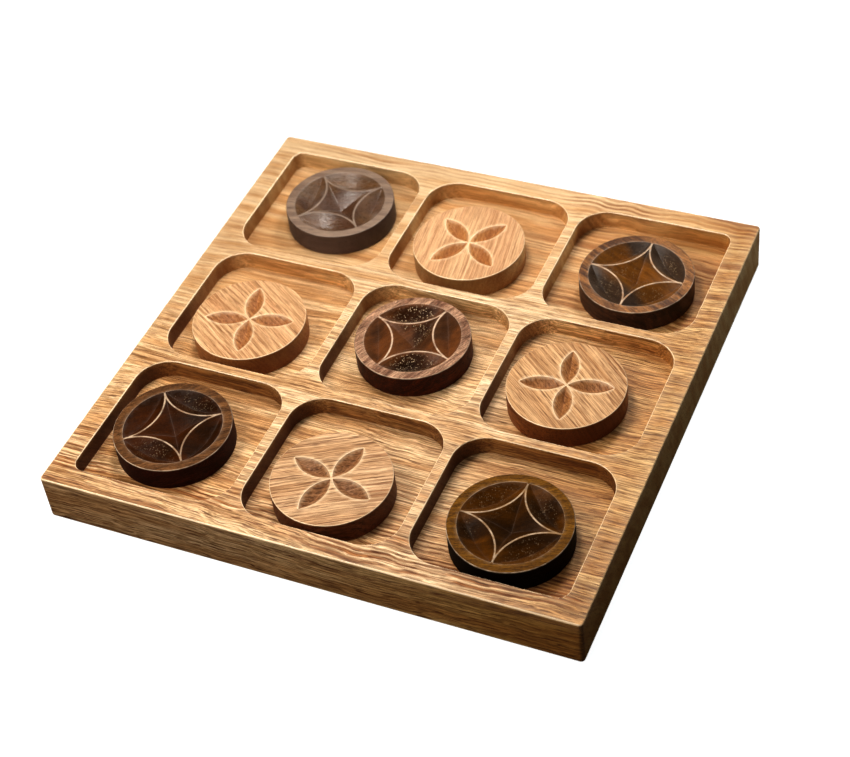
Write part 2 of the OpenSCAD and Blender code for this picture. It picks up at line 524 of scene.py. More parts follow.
# ---------------------------------------------------------------------------
# The board
# ---------------------------------------------------------------------------
def square_loop(cx, cy, half, radii, step):
    """A square with its own radius at each corner (CCW from +x+y): points, outward normals, length along it."""
    P, N = [], []
    for i in range(4):
        sx, sy = CORNERS[i]
        r = radii[i]
        ox, oy = cx + sx * (half - r), cy + sy * (half - r)
        seg = max(8, int(r * math.pi / 2 / step))
        a0 = i * math.pi / 2
        for j in range(seg + 1):
            a = a0 + j / seg * math.pi / 2
            P.append((ox + r * math.cos(a), oy + r * math.sin(a)))
            N.append((math.cos(a), math.sin(a)))
        # straight run to the next corner
        r2 = radii[(i + 1) % 4]
        length = 2 * half - r - r2
        m = max(2, int(length / step))
        dx, dy = [(-1, 0), (0, -1), (1, 0), (0, 1)][i]
        x0, y0 = P[-1]
        for j in range(1, m):
            P.append((x0 + dx * length * j / m, y0 + dy * length * j / m))
            N.append(N[-1] if j > 1 else N[-1])
    P, N = np.array(P), np.array(N)
    d = np.hypot(*(np.roll(P, -1, 0) - P).T)
    s = np.concatenate([[0], np.cumsum(d)[:-1]])
    return P, N, s, d.sum()


def build_board():
    b = Build()
    T = BOARD_T
    pocket_z = FLOOR_Z
    flat_points, flat_edges, owner = [], [], []
    n = 0
    # outside
    P, N, s, total = square_loop(0, 0, BOARD_HALF, [BOARD_CORNER_R] * 4, 1.6)
    seg = 5
    er = BOARD_EDGE_R
    loops = []
    wob = wave_noise(s, 5, (9, 3.2, 1.5), (0.05, 0.04, 0.03), total)
    # painted highlight: the rounded top edge is lighter where it faces the front and the left
    front_edge_highlight = 0.75 - 0.5 * N[:, 1] - 0.4 * N[:, 0]
    for i in range(seg + 1):
        th = i / seg * math.pi / 2
        inset = er * (1 - math.sin(th)) + wob * math.sin(2 * th) * 0.6
        z = T - er * (1 - math.cos(th))
        loops.append((P - N * inset[:, None], np.full(len(P), z), N * math.sin(th), math.cos(th),
                      front_edge_highlight * math.sin(2 * th) ** 0.5 if 0 < i < seg else 0.1))
    for z in np.linspace(T - er, er, 5)[1:-1]:
        loops.append((P, np.full(len(P), z), N, 0.0, 0.0))
    for i in range(seg + 1):
        th = i / seg * math.pi / 2
        loops.append((P - N * (er * (1 - math.cos(th))), np.full(len(P), er * (1 - math.sin(th))),
                      N * math.cos(th), -math.sin(th), 0.5 if 0 < i < seg else 0.0))
    idx = []
    for p, z, nn, nz, wear in loops:
        v = np.concatenate([p, z[:, None]], 1)
        nrm = np.concatenate([np.broadcast_to(nn, p.shape), np.full((len(p), 1), nz)], 1)
        idx.append(b.add(v, nrm, wear, 0.0, 1.0 - abs(nz)))
    for k in range(len(idx) - 1):
        b.strip(idx[k], idx[k + 1])
    flat_points.append(loops[0][0])
    flat_edges += [(n + i, n + (i + 1) % len(P)) for i in range(len(P))]
    owner.append(idx[0])
    n += len(P)
    under = (loops[-1][0], idx[-1])

    # pockets
    rims = []
    for row in range(3):
        for col in range(3):
            cx, cy = (col - 1) * POCKET_PITCH, (row - 1) * POCKET_PITCH
            radii = [POCKET_R] * 4
            if (col, row) == (2, 2):
                radii[0] = POCKET_OUTER_R
            if (col, row) == (0, 2):
                radii[1] = POCKET_OUTER_R
            if (col, row) == (0, 0):
                radii[2] = POCKET_OUTER_R
            if (col, row) == (2, 0):
                radii[3] = POCKET_OUTER_R
            P, N, s, total = square_loop(cx, cy, POCKET_HALF, radii, 0.62)
            seed = 20 + row * 3 + col
            ease = RIM_EASE * (1 + wave_noise(s, seed, (7.0, 2.6, 1.3), (0.10, 0.16, 0.20), total))
            ease = np.clip(ease, 0.14, 0.72)
            dip = np.clip(wave_noise(s, seed + 50, (5.0, 1.4), (0.5, 0.5), total), 0, 1) * 0.05
            seg = 4
            prev = None
            for i in range(seg + 1):
                th = i / seg * math.pi / 2
                off = ease * (1 - math.sin(th))
                z = T - ease * (1 - math.cos(th)) - dip * math.sin(2 * th)
                p = P + N * off[:, None]
                # the rounded rim is lighter: partly sanded wood, partly a painted highlight
                ids = b.add(np.concatenate([p, np.broadcast_to(z, (len(p),))[:, None]], 1),
                            np.concatenate([-N * math.sin(th), np.full((len(p), 1), math.cos(th))], 1),
                            1.25 * math.sin(2 * th) ** 0.5 if 0 < i < seg else (0.1 if i == 0 else 0.0),
                            0.5 if i == seg else 0.0, math.sin(th))
                if prev is None:
                    flat_points.append(p)
                    flat_edges += [(n + k, n + (k + 1) % len(p)) for k in range(len(p))]
                    owner.append(ids)
                    n += len(p)
                    rims.append(p)
                else:
                    b.strip(prev, ids)
                prev = ids
            for z in np.linspace(T - RIM_EASE, pocket_z + COVE, 5)[1:]:
                ids = b.add(np.concatenate([P, np.full((len(P), 1), z)], 1),
                            np.concatenate([-N, np.zeros((len(P), 1))], 1), 0.0, 1.0, 1.0)
                b.strip(prev, ids)
                prev = ids
            for i in range(1, 4):
                th = i / 3 * math.pi / 2
                p = P - N * (COVE * (1 - math.cos(th)))
                ids = b.add(np.concatenate([p, np.full((len(p), 1), pocket_z + COVE * (1 - math.sin(th)))], 1),
                            np.concatenate([-N * math.cos(th), np.full((len(p), 1), math.sin(th))], 1),
                            0.0, 1.0, math.cos(th))
                b.strip(prev, ids)
                prev = ids
            grid = hex_points(POCKET_HALF, POCKET_HALF, 3.2) + [cx, cy]
            grid = grid[(np.abs(grid[:, 0] - cx) < POCKET_HALF - 1) & (np.abs(grid[:, 1] - cy) < POCKET_HALF - 1)]
            q = np.abs(grid - [cx, cy]) - (POCKET_HALF - POCKET_R)
            grid = grid[(np.hypot(np.maximum(q[:, 0], 0), np.maximum(q[:, 1], 0)) < POCKET_R - 1.2)]
            m = len(p)
            pts, tris, where = cdt(np.concatenate([p, grid]), [(k, (k + 1) % m) for k in range(m)])
            new = {}
            back = {where[k]: prev[k] for k in range(m)}
            inside = [k for k in range(len(pts)) if k not in back]
            ids = b.add(np.concatenate([pts[inside], np.full((len(inside), 1), pocket_z)], 1), (0, 0, 1.0), 0.0, 1.0)
            for k, i in zip(inside, ids):
                new[k] = i
            new.update(back)
            for t in tris:
                b.f.append(tuple(new[k] for k in t))

    # the flat top around the pockets
    P0 = np.concatenate(flat_points)
    grid = hex_points(BOARD_HALF, BOARD_HALF, 4.6)
    lim = BOARD_HALF - BOARD_EDGE_R - 1.2
    grid = grid[(np.abs(grid[:, 0]) < lim) & (np.abs(grid[:, 1]) < lim)]
    q = np.abs(grid) - (BOARD_HALF - BOARD_CORNER_R)
    grid = grid[np.hypot(np.maximum(q[:, 0], 0), np.maximum(q[:, 1], 0)) < 1.0]

    def in_pocket(p, grow):
        cell = np.clip(np.round(p / POCKET_PITCH), -1, 1)
        rel = p - cell * POCKET_PITCH
        rr = np.where((cell[:, 0] != 0) & (cell[:, 1] != 0) & (rel[:, 0] * cell[:, 0] > 0) & (rel[:, 1] * cell[:, 1] > 0),
                      POCKET_OUTER_R, POCKET_R)
        q = np.abs(rel) - (POCKET_HALF - rr)[:, None]
        d = np.hypot(np.maximum(q[:, 0], 0), np.maximum(q[:, 1], 0)) + np.minimum(np.maximum(q[:, 0], q[:, 1]), 0) - rr
        return d < grow

    grid = grid[~in_pocket(grid, 1.3)]
    pts, tris, where = cdt(np.concatenate([P0, grid]), flat_edges)
    ids0 = np.concatenate(owner)
    back = {where[k]: ids0[k] for k in range(len(P0))}
    inside = [k for k in range(len(pts)) if k not in back]
    ids = b.add(np.concatenate([pts[inside], np.full((len(inside), 1), T)], 1), (0, 0, 1.0))
    new = dict(zip(inside, ids))
    new.update(back)
    rim_set = {}
    k = len(flat_points[0])
    for r, p in enumerate(rims):
        for j in range(len(p)):
            rim_set[where[k + j]] = r
        k += len(p)
    for t in tris:
        rr = {rim_set.get(i) for i in t}
        if len(rr) == 1 and None not in rr:
            mid = pts[list(t)].mean(0)[None]
            if in_pocket(mid, RIM_EASE * 0.5)[0]:
                continue
        b.f.append(tuple(new[i] for i in t))

    # the underside
    p, ring = under
    m = len(p)
    grid = hex_points(BOARD_HALF, BOARD_HALF, 9.0)
    lim = BOARD_HALF - BOARD_EDGE_R - 3
    grid = grid[(np.abs(grid[:, 0]) < lim) & (np.abs(grid[:, 1]) < lim)]
    pts, tris, where = cdt(np.concatenate([p, grid]), [(i, (i + 1) % m) for i in range(m)])
    back = {where[i]: ring[i] for i in range(m)}
    inside = [i for i in range(len(pts)) if i not in back]
    ids = b.add(np.concatenate([pts[inside], np.zeros((len(inside), 1))], 1), (0, 0, -1.0))
    new = dict(zip(inside, ids))
    new.update(back)
    for t in tris:
        b.f.append(tuple(new[i] for i in t))
    return b


# ---------------------------------------------------------------------------
# Node material helper
# ---------------------------------------------------------------------------
class Nodes:
    def __init__(self, name):
        self.mat = bpy.data.materials.new(name)
        self.mat.use_nodes = True
        self.t = self.mat.node_tree
        self.t.nodes.clear()

    def put(self, socket, value):
        if isinstance(value, bpy.types.NodeSocket):
            self.t.links.new(value, socket)
        elif value is not None:
            socket.default_value = value

    def new(self, kind, **props):
        n = self.t.nodes.new(kind)
        for k, v in props.items():
            setattr(n, k, v)
        return n

    def math(self, op, a, b=None, c=None, clamp=False):
        n = self.new("ShaderNodeMath", operation=op, use_clamp=clamp)
        self.put(n.inputs[0], a)
        self.put(n.inputs[1], b)
        self.put(n.inputs[2], c)
        return n.outputs[0]

    def add(self, a, b):
        return self.math("ADD", a, b)

    def sub(self, a, b):
        return self.math("SUBTRACT", a, b)

    def mul(self, a, b, clamp=False):
        return self.math("MULTIPLY", a, b, clamp=clamp)

    def mad(self, a, b, c):
        return self.math("MULTIPLY_ADD", a, b, c)

    def step(self, x, a, b, lo=0.0, hi=1.0):
        n = self.new("ShaderNodeMapRange", interpolation_type="SMOOTHSTEP")
        self.put(n.inputs["Value"], x)
        self.put(n.inputs["From Min"], a)
        self.put(n.inputs["From Max"], b)
        self.put(n.inputs["To Min"], lo)
        self.put(n.inputs["To Max"], hi)
        return n.outputs["Result"]

    def attr(self, name):
        return self.new("ShaderNodeAttribute", attribute_name=name, attribute_type="GEOMETRY")

    def sep(self, v):
        n = self.new("ShaderNodeSeparateXYZ")
        self.put(n.inputs[0], v)
        return n.outputs[0], n.outputs[1], n.outputs[2]

    def comb(self, x, y, z):
        n = self.new("ShaderNodeCombineXYZ")
        self.put(n.inputs[0], x)
        self.put(n.inputs[1], y)
        self.put(n.inputs[2], z)
        return n.outputs[0]

    def scale(self, v, s):
        n = self.new("ShaderNodeVectorMath", operation="MULTIPLY")
        self.put(n.inputs[0], v)
        self.put(n.inputs[1], s)
        return n.outputs[0]

    def noise(self, v, detail=0.0, rough=0.5, scale=1.0, dim="3D", w=None, distortion=0.0):
        n = self.new("ShaderNodeTexNoise", noise_dimensions=dim)
        if dim != "1D":
            self.put(n.inputs["Vector"], v)
        if w is not None:
            self.put(n.inputs["W"], w)
        self.put(n.inputs["Scale"], scale)
        self.put(n.inputs["Detail"], detail)
        self.put(n.inputs["Roughness"], rough)
        self.put(n.inputs["Distortion"], distortion)
        return n.outputs["Fac"] if "Fac" in n.outputs else n.outputs[0]

    def white(self, w):
        n = self.new("ShaderNodeTexWhiteNoise", noise_dimensions="1D")
        self.put(n.inputs["W"], w)
        return n.outputs["Value"]

    def voronoi(self, v, feature="F1", scale=1.0, rand=1.0, smooth=None):
        n = self.new("ShaderNodeTexVoronoi", voronoi_dimensions="3D", feature=feature)
        self.put(n.inputs["Vector"], v)
        self.put(n.inputs["Scale"], scale)
        self.put(n.inputs["Randomness"], rand)
        return n

    def mix(self, f, a, b, mode="MIX", clamp=True):
        n = self.new("ShaderNodeMix", data_type="RGBA", blend_type=mode, clamp_factor=clamp)
        self.put(n.inputs[0], f)
        self.put(n.inputs[6], a)
        self.put(n.inputs[7], b)
        return n.outputs[2]

    def fmix(self, f, a, b):
        n = self.new("ShaderNodeMix", data_type="FLOAT")
        self.put(n.inputs[0], f)
        self.put(n.inputs[2], a)
        self.put(n.inputs[3], b)
        return n.outputs[0]

    def shade(self, c, k):
        """Colour c times the number k."""
        n = self.new("ShaderNodeVectorMath", operation="SCALE")
        self.put(n.inputs[0], c)
        self.put(n.inputs["Scale"], k)
        return n.outputs[0]

    def tint(self, c, k):
        """Colour c times the three numbers k."""
        return self.scale(c, tuple(k))

    def tone(self, c, v, gain, tilt=(0.82, 1.0, 1.28)):
        """Lighter or darker by v times gain; the dark side also turns warmer."""
        n = self.new("ShaderNodeVectorMath", operation="MULTIPLY_ADD")
        self.put(n.inputs[0], self.comb(v, v, v))
        self.put(n.inputs[1], tuple(q * gain for q in tilt))
        self.put(n.inputs[2], (1.0, 1.0, 1.0))
        return self.scale(c, n.outputs[0])

    def bump(self, height, strength, distance, normal=None):
        n = self.new("ShaderNodeBump")
        self.put(n.inputs["Height"], height)
        self.put(n.inputs["Strength"], strength)
        self.put(n.inputs["Distance"], distance)
        self.put(n.inputs["Normal"], normal)
        return n.outputs[0]


def srgb(r, g, b, k=0.8):
    out = []
    for c in (r, g, b):
        c = c / 255.0
        out.append((c / 12.92 if c <= 0.04045 else ((c + 0.055) / 1.055) ** 2.4) * k)
    return (out[0], out[1], out[2], 1.0)


PITH = (-205.0, -95.0)


def oak(name, light, mid, dark, pore_c, ring_k=1.0, ring_gain=1.0, wave=1.0, rough=0.5,
        end_dark=(0.66, 0.58, 0.48), hollow=(1.0, 1.0, 1.0), side=(1.0, 1.0, 1.0), wall_painted_light=(1.0, 1.0, 1.0),
        pore_gain=1.0, fibre_gain=1.0, edge=(255, 228, 188), board=False):
    m = Nodes(name)
    P = m.attr("grain").outputs["Vector"]
    x, y, z = m.sep(P)
    wear = m.attr("wear").outputs["Fac"]
    carve = m.attr("carve").outputs["Fac"]
    endg = m.attr("endg").outputs["Fac"]
    upright = m.attr("side").outputs["Fac"]

    # the growth rings are cylinders round a pith far outside the plank, bent by slow and quick waves
    n1 = m.noise(m.scale(P, (1 / 150, 1 / 60, 1 / 60)), 1.0, 0.5)
    n2 = m.noise(m.scale(P, (1 / 26, 1 / 40, 1 / 20)), 1.0, 0.5)
    n3 = m.noise(m.scale(P, (1 / 9.0, 1 / 3.2, 1 / 3.2)), 2.0, 0.6)
    n4 = m.noise(m.scale(P, (1 / 7.0, 1 / 60, 1 / 30)), 0.0, 0.5)
    dy, dz = m.sub(y, PITH[0]), m.sub(z, PITH[1])
    U = m.math("SQRT", m.add(m.mul(dy, dy), m.mul(dz, dz)))
    U = m.add(U, m.mul(m.sub(n1, 0.5), 13.0))
    U = m.add(U, m.mul(m.sub(n2, 0.5), 3.6 * wave))
    U = m.add(U, m.mul(m.sub(n3, 0.5), 0.85 * wave))
    if board:
        # one corner of the plank has curly figure: the rings ripple together
        far = m.mul(m.step(x, 8.0, 45.0), m.step(y, 28.0, 58.0))
        curl = m.mad(far, 1.3, 0.6)
        U = m.add(U, m.mul(m.sub(n4, 0.5), curl))
    V = m.sub(z, y)

    wide = m.noise(None, 1.0, 0.5, 1 / 11.0, "1D", U)
    t = m.add(m.mul(m.math("SQRT", m.math("MAXIMUM", U, 1.0)), 15.2 * ring_k), m.mul(m.sub(wide, 0.5), 3.0))
    f = m.math("FRACT", t)
    i = m.math("FLOOR", t)
    r1 = m.white(i)
    r2 = m.white(m.add(i, 31.7))
    early = m.mul(m.step(f, 0.0, 0.34), m.step(f, 0.42, 1.0, 1.0, 0.0))
    faint = m.noise(m.scale(P, (1 / 42, 1 / 16, 1 / 16)), 2.0, 0.6)
    faint = m.step(faint, 0.36, 0.60, 0.30, 1.0)
    ring = m.mul(m.mul(early, m.mad(r1, 0.7, 0.3)), faint)

    # open pores: short dark dashes along the grain, crowded in the early wood
    flat = m.mad(endg, -0.6, 1.0)
    pv = m.comb(m.mul(x, 1 / 7.5), m.mul(U, 1 / 0.44), m.mul(V, 1 / 0.8))
    pn = m.noise(pv, 1.0, 0.5)
    pore = m.mul(m.step(pn, 0.53, 0.63), m.mad(early, 0.6, 0.4))
    # broken streaks half a millimetre wide, and finer fibres
    kv = m.comb(m.mul(x, 1 / 34.0), m.mul(U, 1 / 1.0), m.mul(V, 1 / 2.4))
    band = m.noise(kv, 2.0, 0.6)
    fv = m.comb(m.mul(x, 1 / 22.0), m.mul(U, 1 / 0.40), m.mul(V, 1 / 0.9))
    fib = m.noise(fv, 2.0, 0.7)
    line = m.step(fib, 0.40, 0.60)
    # slow streaks of tone
    sv = m.comb(m.mul(x, 1 / 85.0), m.mul(U, 1 / 5.0), m.mul(V, 1 / 14.0))
    streak = m.noise(sv, 2.0, 0.55)
    # short light flecks across the grain
    rv = m.comb(m.mul(x, 1 / 1.6), m.mul(V, 1 / 3.0), m.mul(U, 1 / 1.2))
    fleck = m.step(m.noise(rv, 1.0, 0.5), 0.62, 0.74)

    if board:
        # the figure is strong along the front edge and in the curly corner, soft between
        near = m.step(y, -48.0, -84.0)
        gain = m.math("MINIMUM", m.add(m.mad(near, 0.95, 0.42), m.mul(far, 0.62)), 1.4)
        ring = m.mul(m.mul(ring, gain), flat)
        crisp = m.mul(m.step(m.mad(x, 0.35, m.mul(y, -1.0)), -75.0, 0.0, 0.30, 1.0), 1.0)
        pore = m.mul(pore, m.mad(near, 0.3, 0.75))
        band_g = m.mad(near, 0.6, 0.8)
    else:
        band_g = 1.0
        crisp = 1.0
    base = m.mix(m.step(streak, 0.34, 0.66), light, mid)
    base = m.mix(m.mul(r2, 0.25), base, mid)
    # the outer sides are sawn and sanded flat: their figure is quieter
    quiet = m.mad(m.mul(upright, m.sub(1.0, carve)), -0.45, 1.0)
    ring = m.mul(ring, quiet)
    base = m.mix(m.mul(ring, 0.95 * ring_gain), base, dark)
    base = m.mix(m.mul(m.mul(m.mul(pore, crisp), flat), 0.8 * pore_gain), base, pore_c)
    base = m.tone(base, m.mul(m.mul(m.sub(band, 0.5), m.mul(quiet, band_g)), flat), 1.15 * fibre_gain)
    base = m.tone(base, m.mul(m.mul(m.sub(line, 0.5), crisp), flat), 0.80 * fibre_gain)
    mote = m.noise(m.scale(P, (1 / 2.4, 1 / 0.5, 1 / 0.5)), 2.0, 0.7)
    base = m.tone(base, m.mul(m.sub(mote, 0.5), crisp), 0.75 * fibre_gain, (1.0, 1.0, 1.1))
    base = m.shade(base, m.mad(fleck, 0.05, 1.0))
    if board:
        # towards the right the plank is a little redder
        base = m.mix(m.step(x, 38.0, 96.0), base, m.tint(base, (0.84, 0.74, 0.54)))
        # and a little duller at the back left
        base = m.mix(m.step(m.sub(y, x), 40.0, 150.0), base, m.tint(base, (0.89, 0.905, 0.94)))
        # and paler and bluer in the middle, a painted sheen
        mid_r = m.math("SQRT", m.add(m.mul(x, x), m.mul(y, y)))
        base = m.mix(m.step(mid_r, 30.0, 85.0, 1.0, 0.0), base, m.tint(base, (1.02, 1.08, 1.17)))
        # painted shade: the front side deepens towards the right, the right side towards the front; the back of the
        # right side gets a painted pale sheen
        shell = m.mul(upright, m.sub(1.0, carve))
        long = m.mul(m.mul(shell, m.step(x, -55.0, 80.0)), m.mul(m.sub(1.0, endg), m.step(y, -60.0, 40.0, 1.0, 0.0)))
        base = m.mix(long, base, m.tint(base, (0.93, 0.80, 0.49)))
        cut = m.mul(m.mul(shell, endg), m.step(x, 0.0, 90.0))
        base = m.mix(m.mul(cut, m.step(y, -75.0, 10.0, 1.0, 0.0)), base, m.tint(base, (0.94, 0.84, 0.62)))
        base = m.mix(m.mul(cut, m.step(y, 0.0, 85.0)), base, m.tint(base, (1.13, 1.20, 1.45)))
    # the carved hollows take their own tint: on the board a painted warm bounce light on the pocket walls and floors,
    # on the petal pieces darker hollows
    base = m.mix(carve, base, m.tint(base, hollow))
    # painted shade: the outer sides of the pieces are darkened by the side tint
    base = m.mix(m.mul(upright, m.sub(1.0, carve)), base, m.tint(base, side))
    # painted light: the pocket walls are lightened
    base = m.mix(m.mul(upright, carve), base, m.tint(base, wall_painted_light))
    if board:
        # painted shade: the walls of the front pockets are darker, their end grain most of all
        deep = m.mul(upright, carve)
        base = m.mix(m.mul(deep, m.step(y, -38.0, 25.0, 1.0, 0.0)), base, m.tint(base, (0.46, 0.36, 0.245)))
        base = m.mix(m.mul(m.mul(deep, endg), m.step(y, -30.0, 70.0, 1.0, 0.0)), base, m.tint(base, (0.50, 0.36, 0.32)))
    # end grain drinks more of the oil and goes darker
    base = m.mix(endg, base, m.tint(base, end_dark))
    # worn and rounded edges are lighter: partly sanded wood, partly a painted highlight
    base = m.mix(m.mul(wear, 0.72), base, srgb(*edge, 0.95))

    height = m.add(m.mul(ring, -0.35), m.mul(pore, -0.8))
    height = m.add(height, m.mul(fib, 0.45))
    tool = m.noise(m.scale(P, (1 / 1.4, 1 / 1.4, 1 / 1.4)), 2.0, 0.6)
    height = m.add(height, m.mul(m.mul(tool, carve), 0.8))
    nrm = m.bump(height, 0.6, 0.00008)
    rr = m.add(m.mad(ring, 0.10, rough), m.mul(pore, 0.12))
    rr = m.add(rr, m.mul(m.sub(fib, 0.5), 0.25))
    rr = m.add(rr, m.mul(wear, -0.16))

    bsdf = m.new("ShaderNodeBsdfPrincipled")
    m.put(bsdf.inputs["Base Color"], base)
    m.put(bsdf.inputs["Roughness"], rr)
    m.put(bsdf.inputs["Normal"], nrm)
    m.put(bsdf.inputs["Specular IOR Level"], m.mad(wear, 0.5, 0.35))
    out = m.new("ShaderNodeOutputMaterial")
    m.t.links.new(bsdf.outputs[0], out.inputs[0])
    return m.mat


def walnut(name, rim, rim_dark, inner, inner_b, side=(0.6, 0.55, 0.5), rim_rough=0.55, in_rough=0.36,
           glint=1.0, streak_gain=1.0, edge=(232, 208, 180), ridge=(176, 154, 134), spec=0.4,
           spark=(228, 199, 160), fibre=1.0, heart=None, glint_shade=0.0):
    m = Nodes(name)
    P = m.attr("grain").outputs["Vector"]
    x, y, z = m.sep(P)
    wear = m.attr("wear").outputs["Fac"]
    carve = m.attr("carve").outputs["Fac"]
    endg = m.attr("endg").outputs["Fac"]
    upright = m.attr("side").outputs["Fac"]
    n1 = m.noise(m.scale(P, (1 / 40, 1 / 16, 1 / 16)), 1.0, 0.5)
    n2 = m.noise(m.scale(P, (1 / 12, 1 / 3, 1 / 3)), 1.0, 0.5)
    U = m.add(m.add(m.mul(y, 0.8), m.mul(z, 0.6)), m.mul(m.sub(n1, 0.5), 8.0))
    U = m.add(U, m.mul(m.sub(n2, 0.5), 1.0))
    V = m.sub(m.mul(z, 0.8), m.mul(y, 0.6))
    sv = m.comb(m.mul(x, 1 / 45.0), m.mul(U, 1 / 1.9), m.mul(V, 1 / 5.0))
    streak = m.noise(sv, 3.0, 0.6)
    pv = m.comb(m.mul(x, 1 / 4.2), m.mul(U, 1 / 0.32), m.mul(V, 1 / 0.5))
    pore = m.step(m.noise(pv, 1.0, 0.5), 0.58, 0.70)
    fv = m.comb(m.mul(x, 1 / 6.0), m.mul(U, 1 / 0.42), m.mul(V, 1 / 0.6))
    fib = m.noise(fv, 2.0, 0.7)
    big = m.noise(m.scale(P, (1 / 30, 1 / 11, 1 / 11)), 1.0, 0.5)

    s = m.mul(m.step(streak, 0.36, 0.66), streak_gain)
    top = m.mix(s, rim, rim_dark)
    top = m.mix(m.mul(pore, 0.5), top, tuple(c * 0.40 for c in rim_dark[:3]) + (1.0,))
    if heart is None:
        low = m.mix(m.step(big, 0.42, 0.60), inner, inner_b)
    else:
        # a golden stripe of heartwood runs along the grain
        off = m.math("ABSOLUTE", m.sub(m.mad(m.sub(big, 0.5), 9.0, y), heart[0]))
        low = m.mix(m.step(off, heart[1] - 2.0, heart[1] + 2.5), inner, inner_b)
    low = m.shade(low, m.mad(s, -0.30, 1.0))
    low = m.mix(m.mul(pore, 0.35), low, tuple(c * 0.5 for c in inner[:3]) + (1.0,))
    # painted glints: tiny light dots in patches
    vo = m.voronoi(m.scale(P, (1 / 0.58, 1 / 0.58, 1 / 0.58)))
    dot = m.step(vo.outputs["Distance"], 0.24, 0.46, 1.0, 0.0)
    pick = m.step(m.sep(vo.outputs["Color"])[0], 0.38, 0.68)
    patch = m.step(m.noise(m.scale(P, (1 / 3.0, 1 / 3.0, 1 / 3.0)), 1.0, 0.5), 0.30, 0.52)
    where = m.attr("glint").outputs["Fac"]
    # painted shade: the hollows go near black under the glints
    low = m.mix(m.mul(where, glint_shade), low, m.tint(low, (0.12, 0.085, 0.02)))
    glint_dots = m.mul(m.mul(dot, pick), m.mul(m.mul(patch, where), glint))
    base = m.mix(carve, top, low)
    base = m.tone(base, m.mul(m.sub(fib, 0.5), m.fmix(carve, 1.9 * fibre, 0.8)), 1.0, (0.9, 1.0, 1.1))
    mote = m.noise(m.scale(P, (1 / 0.9, 1 / 0.45, 1 / 0.45)), 1.0, 0.6)
    base = m.tone(base, m.mul(m.sub(mote, 0.5), m.fmix(carve, 1.1 * fibre, 0.5)), 1.0, (1.0, 1.0, 1.0))
    # painted shade: the outer sides of the pieces are darkened by the side tint
    base = m.mix(upright, base, m.tint(base, side))
    base = m.shade(base, m.fmix(endg, 1.0, 0.75))
    # lighter edges and ridges: partly sanded top wood, partly a painted highlight
    lit = m.mix(m.step(carve, 0.05, 0.4), srgb(*edge), srgb(*ridge))
    light_edge_patches = m.step(m.noise(m.scale(P, (1 / 4.5, 1 / 4.5, 1 / 4.5)), 2.0, 0.6), 0.36, 0.62, 0.28, 0.72)
    base = m.mix(m.mul(wear, light_edge_patches, clamp=True), base, lit)
    # painted glints: the light specks in the hollows
    base = m.mix(m.mul(glint_dots, carve), base, srgb(*spark))

    height = m.add(m.mul(pore, -0.8), m.mul(fib, 0.5))
    tool = m.noise(m.scale(P, (1 / 0.9, 1 / 0.9, 1 / 0.9)), 2.0, 0.6)
    height = m.add(height, m.mul(m.mul(tool, carve), 1.2))
    grit = m.noise(m.scale(P, (1 / 0.6, 1 / 0.6, 1 / 0.6)), 1.0, 0.6)
    height = m.add(height, m.mul(m.mul(grit, where), 2.2))
    nrm = m.bump(height, 0.6, 0.00010)
    rr = m.fmix(carve, rim_rough, in_rough)
    rr = m.add(rr, m.mul(where, -0.10))
    rr = m.add(rr, m.mul(m.sub(fib, 0.5), 0.25))
    rr = m.add(rr, m.mul(pore, 0.10))
    bsdf = m.new("ShaderNodeBsdfPrincipled")
    m.put(bsdf.inputs["Base Color"], base)
    m.put(bsdf.inputs["Roughness"], rr)
    m.put(bsdf.inputs["Normal"], nrm)
    m.put(bsdf.inputs["Specular IOR Level"], m.mad(where, -0.65 * spec, spec))
    out = m.new("ShaderNodeOutputMaterial")
    m.t.links.new(bsdf.outputs[0], out.inputs[0])
    return m.mat


# ---------------------------------------------------------------------------
# Wood of each piece: the way its grain runs, where in the log it was cut
# ---------------------------------------------------------------------------
def grain_attrs(v, n, centre, angle, tilt, offset):
    """Coordinates along and across the grain (mm), and how far a face shows end grain."""
    a = math.radians(angle)
    t = math.radians(tilt)
    g = np.array([math.cos(a) * math.cos(t), math.sin(a) * math.cos(t), math.sin(t)])
    side = np.array([-math.sin(a), math.cos(a), 0.0])
    up = np.cross(g, side)
    p = v - np.array([centre[0], centre[1], 0.0])
    coords = np.stack([p @ g, p @ side, p @ up], 1) + np.asarray(offset, float)
    nn = n / np.maximum(np.linalg.norm(n, axis=1, keepdims=True), 1e-9)
    return coords, (nn @ g) ** 2


OAK_LIGHT = srgb(230, 197, 154)
OAK_MID = srgb(204, 158, 107)
OAK_DARK = srgb(154, 101, 54)
OAK_PORE = srgb(112, 64, 30)

WOOD = {
    # name: grain direction, tilt, place in the log
    "board": (0.0, 0.0, (0.0, 0.0, 0.0)),
    "flower_piece_1": (98.0, 0.0, (320.0, 60.0, -60.0)),
    "flower_piece_2": (-36.0, 0.0, (500.0, -30.0, 15.0)),
    "flower_piece_3": (-39.0, 0.0, (760.0, 10.0, -40.0)),
    "flower_piece_4": (29.0, 0.0, (940.0, 35.0, 10.0)),
    "star_piece_1": (10.0, 3.0, (100.0, 0.0, 0.0)),
    "star_piece_2": (-28.0, 2.0, (230.0, 40.0, 20.0)),
    "star_piece_3": (60.0, 3.0, (360.0, 10.0, 60.0)),
    "star_piece_4": (35.0, 3.0, (520.0, 80.0, 30.0)),
    "star_piece_5": (20.0, 2.0, (700.0, 30.0, 90.0)),
}

